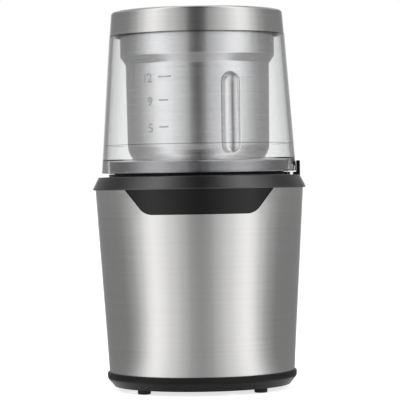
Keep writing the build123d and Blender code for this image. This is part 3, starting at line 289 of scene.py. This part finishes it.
def collar_plastic(name):
    """The collar's satin black; on the neck above its deck the reflection is turned almost off,
    painted shade for the dark gap under the lid's foot.
    """
    material = plastic(name, (0.006, 0.006, 0.007), (0.010, 0.010, 0.011), 0.20)
    made = Shade.of(material)
    specular = made.span(
        made.axis_value("Object", "Z"), COLLAR_SPECULAR, NECK_SPECULAR_PAINTED_SHADE,
        start=DECK_Z, end=DECK_Z + DECK_EDGE,
    )
    made.link(specular, made.bsdf.inputs["Specular IOR Level"])
    return material


def foot_steel(name):
    """The foot cover's steel: darker brushed steel on the side as painted shade, and a top painted
    near white as a highlight.
    """
    # The darker steel here is painted shade for the cover's side; faces that point up get the painted
    # highlight instead.
    material = brushed_steel(name, (0.25, 0.25, 0.26), (0.31, 0.31, 0.32), 0.22, 2600, 0.6)
    made = Shade.of(material)
    color = made.bsdf.inputs["Base Color"]
    side = color.links[0].from_socket
    level = made.span(made.axis_value("Normal", "Z"), 0.0, 1.0, start=0.3, end=0.8)
    made.link(made.mixed(level, side, grey(COVER_TOP_PAINTED_HIGHLIGHT)), color)
    return material


def rubber(name, dark, light):
    """Matt rubber with a fine bloom."""
    made = Shade(name, Specular_IOR_Level=0.35)
    cloud = made.noise(300, detail=5.0)
    made.between(cloud, dark, light)
    made.rough(cloud, 0.62, 0.78)
    made.bump(made.noise(3500), 0.00003, strength=0.5)
    return made.material


def clear_plastic(name):
    """Polished clear plastic with the slight waves of a moulding; its tint darkens where it is seen
    edge on, painted shade for the dark edges that refraction gives.
    """
    made = Shade(name, Transmission_Weight=1.0, IOR=1.49)
    facing = made.node("ShaderNodeLayerWeight")
    facing.inputs["Blend"].default_value = 0.5
    made.between(facing.outputs["Facing"], CLEAR_FACE, CLEAR_EDGE_PAINTED_SHADE, start=0.45, end=1.0)
    wave = made.noise((35, 35, 12), detail=1.0)
    made.rough(wave, 0.01, 0.03)
    made.bump(wave, 0.00006, strength=0.35)
    return made.material


def metal(name, dark, light, roughness, grain=400):
    """Plain metal of a small inner piece."""
    made = Shade(name, Metallic=1.0)
    cloud = made.noise(grain, detail=4.0)
    made.between(cloud, dark, light)
    made.rough(cloud, roughness - 0.05, roughness + 0.08)
    return made.material


def laminations(name):
    """Stacked varnished steel sheets: fine lines across the axis."""
    made = Shade(name, Metallic=0.7)
    lines = made.noise((30, 30, 2000), detail=2.0)
    made.between(lines, (0.10, 0.10, 0.11), (0.34, 0.34, 0.36))
    made.rough(lines, 0.38, 0.55)
    made.bump(lines, 0.00005, strength=0.6)
    return made.material


def wound_copper(name):
    """Enamelled wire wound round a coil."""
    made = Shade(name, Metallic=0.5)
    lines = made.noise(900, detail=2.0)
    made.between(lines, (0.20, 0.055, 0.015), (0.62, 0.24, 0.09))
    made.rough(lines, 0.28, 0.45)
    made.bump(lines, 0.0002, strength=0.7)
    return made.material


# ==== Materials by slot =================================================================
def make_materials():
    """Every material slot of the record, by name."""
    return {
        "brushed_steel_body": brushed_steel(
            "body_steel", (0.585, 0.58, 0.575), (0.625, 0.62, 0.615), 0.22, 1500, 0.75
        ),
        "brushed_steel_cap": brushed_steel(
            "cap_steel", (0.56, 0.555, 0.55), (0.61, 0.605, 0.60), 0.22, 1800, 0.75
        ),
        "bowl_steel": brushed_steel(
            "cup_steel", (0.62, 0.62, 0.625), (0.70, 0.70, 0.705), 0.24, 2600, 0.5
        ),
        "foot_steel": foot_steel("cover_steel_painted_light"),
        "black_plastic_collar": collar_plastic("collar_plastic"),
        "black_plastic_base": plastic(
            "ring_plastic", (0.012, 0.012, 0.012), (0.017, 0.017, 0.017), 0.35, specular=0.10
        ),
        "black_gloss_panel": plastic(
            "panel_plastic", (0.004, 0.004, 0.004), (0.006, 0.006, 0.006), 0.2, specular=0.3
        ),
        "black_plastic_foot": plastic(
            "foot_plastic", (0.02, 0.02, 0.022), (0.03, 0.03, 0.033), 0.4
        ),
        "black_inner_plastic": plastic(
            "inner_plastic", (0.012, 0.012, 0.012), (0.02, 0.02, 0.02), 0.5
        ),
        "retainer_plastic": plastic("seat_plastic", (0.05, 0.05, 0.05), (0.07, 0.07, 0.07), 0.5),
        "bracket_plastic": plastic("bracket_resin", (0.06, 0.06, 0.06), (0.09, 0.09, 0.09), 0.55),
        "fan_plastic": plastic("fan_nylon", (0.66, 0.64, 0.58), (0.75, 0.73, 0.68), 0.45),
        "coupler_plastic": plastic("coupler_nylon", (0.03, 0.03, 0.03), (0.05, 0.05, 0.05), 0.45),
        "switch_plastic": plastic("switch_resin", (0.015, 0.015, 0.015), (0.03, 0.03, 0.03), 0.35),
        "rod_plastic": plastic("rod_acetal", (0.60, 0.60, 0.57), (0.70, 0.70, 0.67), 0.4),
        "clear_plastic": clear_plastic("lid_clear"),
        "foot_rubber": rubber("pad_rubber", (0.014, 0.014, 0.014), (0.026, 0.026, 0.026)),
        "grommet_rubber": rubber("bush_rubber", (0.012, 0.012, 0.012), (0.022, 0.022, 0.022)),
        "seal_silicone": rubber("seal_rubber", (0.18, 0.18, 0.19), (0.26, 0.26, 0.27)),
        "carbon": rubber("brush_carbon", (0.02, 0.02, 0.02), (0.05, 0.05, 0.05)),
        "screw_steel": metal("zinc_steel", (0.50, 0.50, 0.49), (0.68, 0.68, 0.66), 0.3),
        "bearing_steel": metal("ground_steel", (0.58, 0.58, 0.59), (0.70, 0.70, 0.71), 0.2),
        "blade_steel": metal(
            "edge_steel", (0.60, 0.60, 0.61), (0.74, 0.74, 0.75), 0.22, grain=(60, 1200, 60)
        ),
        "bracket_aluminium": metal("cast_alloy", (0.50, 0.50, 0.51), (0.66, 0.66, 0.67), 0.42),
        "brass_parts": metal("turned_brass", (0.62, 0.44, 0.18), (0.80, 0.62, 0.30), 0.28),
        "commutator_copper": metal("bar_copper", (0.60, 0.30, 0.16), (0.76, 0.46, 0.30), 0.3),
        "lamination_steel": laminations("core_sheets"),
        "enamelled_copper": wound_copper("coil_wire"),
    }


def dress_nodes(materials):
    """Gives each CAD node its finish."""
    for part in frame["record"]["subparts"]:
        target = frame["nodes"][part["node"]]
        for place in target.material_slots:
            place.material = materials[part["material_slot"]]


# ==== Fill marks ==========================================================================
def cup_r(z):
    """The grinding bowl's outside radius at height z."""
    share = (z - CUP_LOW) / (CUP_SHOULDER - CUP_LOW)
    return CUP_R - CUP_DRAFT * (1 - share)


def wrap(mesh, name, angle, z):
    """Bends a mesh in the plane of X and Y round the bowl, its origin at angle left of the front."""
    shape = bmesh.new()
    shape.from_mesh(mesh)
    across = [vert.co.x for vert in shape.verts]
    cut, end = min(across), max(across)
    while cut < end:
        everything = shape.verts[:] + shape.edges[:] + shape.faces[:]
        bmesh.ops.bisect_plane(shape, geom=everything, plane_co=(cut, 0, 0), plane_no=(1, 0, 0))
        cut += WRAP_STEP
    start = math.radians(-90 - angle)
    for vert in shape.verts:
        height = z + vert.co.y
        radius = cup_r(height) + vert.co.z
        turn = start + vert.co.x / CUP_R
        vert.co = (radius * math.cos(turn), radius * math.sin(turn), height)
    bmesh.ops.remove_doubles(shape, verts=shape.verts, dist=WELD)
    bmesh.ops.recalc_face_normals(shape, faces=shape.faces)
    shape.to_mesh(mesh)
    shape.free()
    mesh.name = name
    mesh.shade_smooth()
    piece = bpy.data.objects.new(name, mesh)
    SCENE.collection.objects.link(piece)
    return piece


def dash(length):
    """A bar with round ends and a domed front, from the origin along X."""
    shape = bmesh.new()
    outline = [
        (middle, math.radians(start + 180 / MARK_END_SIDES * step))
        for middle, start in ((length - MARK_T / 2, -90), (MARK_T / 2, 90))
        for step in range(MARK_END_SIDES + 1)
    ]
    levels = [(-SINK, 1.0)] + [(share * MARK_PROUD, width) for share, width in MARK_DOME]
    rings = []
    for height, width in levels:
        reach = MARK_T / 2 * width
        rings.append([
            shape.verts.new((middle + reach * math.cos(turn), reach * math.sin(turn), height))
            for middle, turn in outline
        ])
    shape.faces.new(rings[-1])
    shape.faces.new(rings[0][::-1])
    for below, above in zip(rings, rings[1:]):
        for k in range(len(outline)):
            after = (k + 1) % len(outline)
            shape.faces.new((below[k], below[after], above[after], above[k]))
    mesh = bpy.data.meshes.new("dash")
    shape.to_mesh(mesh)
    shape.free()
    return mesh


def figures(text):
    """Raised figures with round edges that end at the origin, in the plane of X and Y."""
    curve = bpy.data.curves.new("figures", "FONT")
    curve.body = text
    curve.size = NUMBER_H / FIGURE_SHARE
    curve.align_x = "RIGHT"
    curve.align_y = "CENTER"
    curve.offset = -FIGURE_BEVEL / 2
    curve.extrude = SINK / 2
    curve.bevel_depth = FIGURE_BEVEL
    curve.bevel_resolution = 2
    curve.resolution_u = 4
    holder = bpy.data.objects.new("figures", curve)
    SCENE.collection.objects.link(holder)
    mesh = bpy.data.meshes.new_from_object(holder)
    bpy.data.objects.remove(holder)
    bpy.data.curves.remove(curve)
    mesh.materials.clear()
    return mesh


def add_marks(steel):
    """The raised fill marks and their figures on the left of the grinding bowl."""
    for z, length, text in MARKS:
        for piece in (
            wrap(dash(length), f"mark_{text}", MARK_ANGLE, z),
            wrap(figures(text), f"figure_{text}", NUMBER_ANGLE, z - NUMBER_DROP),
        ):
            piece.data.materials.append(steel)
            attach(piece, "bowl")


# ==== Studio ==============================================================================
def background_rays(tree):
    """1 for the rays that see the background itself: camera, glossy and transmission rays."""
    path = tree.nodes.new("ShaderNodeLightPath")
    seen = path.outputs["Is Camera Ray"]
    for name in ("Is Glossy Ray", "Is Transmission Ray"):
        seen = reckon(tree, "MAXIMUM", seen, path.outputs[name])
    return seen


def make_world():
    """White background; the light that it gives is softer."""
    world = bpy.data.worlds.new("studio")
    world.use_nodes = True
    SCENE.world = world
    tree = world.node_tree
    shade = tree.nodes["Background"]
    shade.inputs["Color"].default_value = grey(1)
    level = tree.nodes.new("ShaderNodeMapRange")
    level.inputs["To Min"].default_value = DIFFUSE_LEVEL
    level.inputs["To Max"].default_value = 1.0
    tree.links.new(background_rays(tree), level.inputs["Value"])
    tree.links.new(level.outputs["Result"], shade.inputs["Strength"])


def make_floor():
    """A wide pale sheet. Its own glow brings it up to white, and the shadow stays."""
    mesh = bpy.data.meshes.new("floor")
    half = FLOOR_SIZE / 2
    corners = [(-half, -half, 0), (half, -half, 0), (half, half, 0), (-half, half, 0)]
    mesh.from_pydata(corners, [], [(0, 1, 2, 3)])
    floor = bpy.data.objects.new("floor", mesh)
    SCENE.collection.objects.link(floor)
    made = Shade("floor_sheet", Roughness=0.9, Specular_IOR_Level=0.0)
    made.bsdf.inputs["Base Color"].default_value = grey(FLOOR_COLOR)
    made.bsdf.inputs["Emission Color"].default_value = grey(1)
    glow = reckon(made.tree, "MULTIPLY", background_rays(made.tree), FLOOR_GLOW)
    made.link(glow, made.bsdf.inputs["Emission Strength"])
    made.material.cycles.emission_sampling = "NONE"
    mesh.materials.append(made.material)


def tent_ramp(made, share, bands):
    """The brightness of one row of bands, for a share of the way from the front to the back."""
    ramp = made.node("ShaderNodeValToRGB")
    ramp.color_ramp.interpolation = "EASE"
    stops = ramp.color_ramp.elements
    while len(stops) < len(bands):
        stops.new(1.0)
    for stop, (degrees, level) in zip(stops, bands):
        stop.position = degrees / HALF_TURN
        stop.color = grey(level / TENT_PEAK)
    made.link(share, ramp.inputs["Fac"])
    return ramp.outputs["Color"]


def tent_cloth():
    """The tent's glow: its bands for what the object mirrors, and white for what looks through the
    clear lid."""
    made = Shade("tent_cloth", Base_Color=grey(0), Specular_IOR_Level=0.0)
    across, along, height = (made.axis_value("Object", axis) for axis in "XYZ")
    ahead = reckon(made.tree, "MULTIPLY", along, -1)
    aside = reckon(made.tree, "ABSOLUTE", reckon(made.tree, "ARCTAN2", across, ahead))
    share = reckon(made.tree, "DIVIDE", aside, math.pi)
    bands = tent_ramp(made, share, TENT_ROWS[0])
    for row, change in zip(TENT_ROWS[1:], TENT_CHANGES):
        bands = made.mixed(
            made.span(height, 0.0, 1.0, *change), bands, tent_ramp(made, share, row)
        )
    path = made.node("ShaderNodeLightPath")
    mirrored = reckon(made.tree, "GREATER_THAN", path.outputs["Glossy Depth"], 0.5)
    glow = made.mixed(mirrored, grey(1 / TENT_PEAK), bands)
    made.link(glow, made.bsdf.inputs["Emission Color"])
    made.bsdf.inputs["Emission Strength"].default_value = TENT_PEAK
    made.material.cycles.emission_sampling = "NONE"
    return made.material


def make_tent():
    """A tall round card and its floor that only reflections see: dark in the middle and at the
    sides, with a soft bright band between, as metal is lit in a studio."""
    mesh = bpy.data.meshes.new("light_tent")
    shape = bmesh.new()
    profile = ((TENT_HOLE_R, TENT_FLOOR_Z), (TENT_R, TENT_FLOOR_Z), (TENT_R, TENT_TOP))
    columns = []
    for n in range(TENT_SIDES):
        angle = 2 * math.pi * n / TENT_SIDES
        columns.append([
            shape.verts.new((radius * math.sin(angle), -radius * math.cos(angle), height))
            for radius, height in profile
        ])
    for here, there in zip(columns, columns[1:] + columns[:1]):
        for k in (0, 1):
            shape.faces.new((here[k], there[k], there[k + 1], here[k + 1]))
    shape.to_mesh(mesh)
    shape.free()
    tent = bpy.data.objects.new("light_tent", mesh)
    SCENE.collection.objects.link(tent)
    for use in ("camera", "diffuse", "volume_scatter", "shadow"):
        setattr(tent, f"visible_{use}", False)
    mesh.materials.append(tent_cloth())


def make_lamp(name, place, power):
    """A soft square lamp that points at the object's middle and lights it without a mirror image."""
    data = bpy.data.lights.new(name, "AREA")
    data.size = LAMP_SIZE
    data.energy = power
    lamp = bpy.data.objects.new(name, data)
    SCENE.collection.objects.link(lamp)
    lamp.location = place
    aim = Vector(LAMP_AIM) - Vector(place)
    lamp.rotation_euler = aim.to_track_quat("-Z", "Y").to_euler()
    lamp.visible_glossy = False


def make_camera():
    """The photograph's view: level with the lid's foot and rolled a little."""
    data = bpy.data.cameras.new("camera")
    data.sensor_width = SENSOR
    data.lens = SENSOR * VIEW_DISTANCE / (PICTURE * VIEW_SCALE)
    camera = bpy.data.objects.new("camera", data)
    SCENE.collection.objects.link(camera)
    aside = (PICTURE / 2 - AXIS_X) * VIEW_SCALE
    drop = (PICTURE / 2 - HORIZON_Y) * VIEW_SCALE
    tilt = math.atan2(drop, VIEW_DISTANCE)
    camera.matrix_world = (
        Matrix.Translation((aside, -VIEW_DISTANCE, VIEW_HEIGHT))
        @ Matrix.Rotation(math.pi / 2 - tilt, 4, "X")
        @ Matrix.Rotation(math.radians(-ROLL), 4, "Z")
    )
    SCENE.camera = camera


make_camera()
make_world()
make_floor()
make_tent()
for lamp in LAMPS:
    make_lamp(*lamp)
SCENE.view_settings.view_transform = "Standard"

dress_nodes(make_materials())
# The marks' steel is darker than the cup's: painted shade for the dark line that the raised marks
# show.
add_marks(brushed_steel("mark_steel_painted_shade", (0.42, 0.42, 0.425), (0.50, 0.50, 0.505), 0.30, 2600, 0.3))
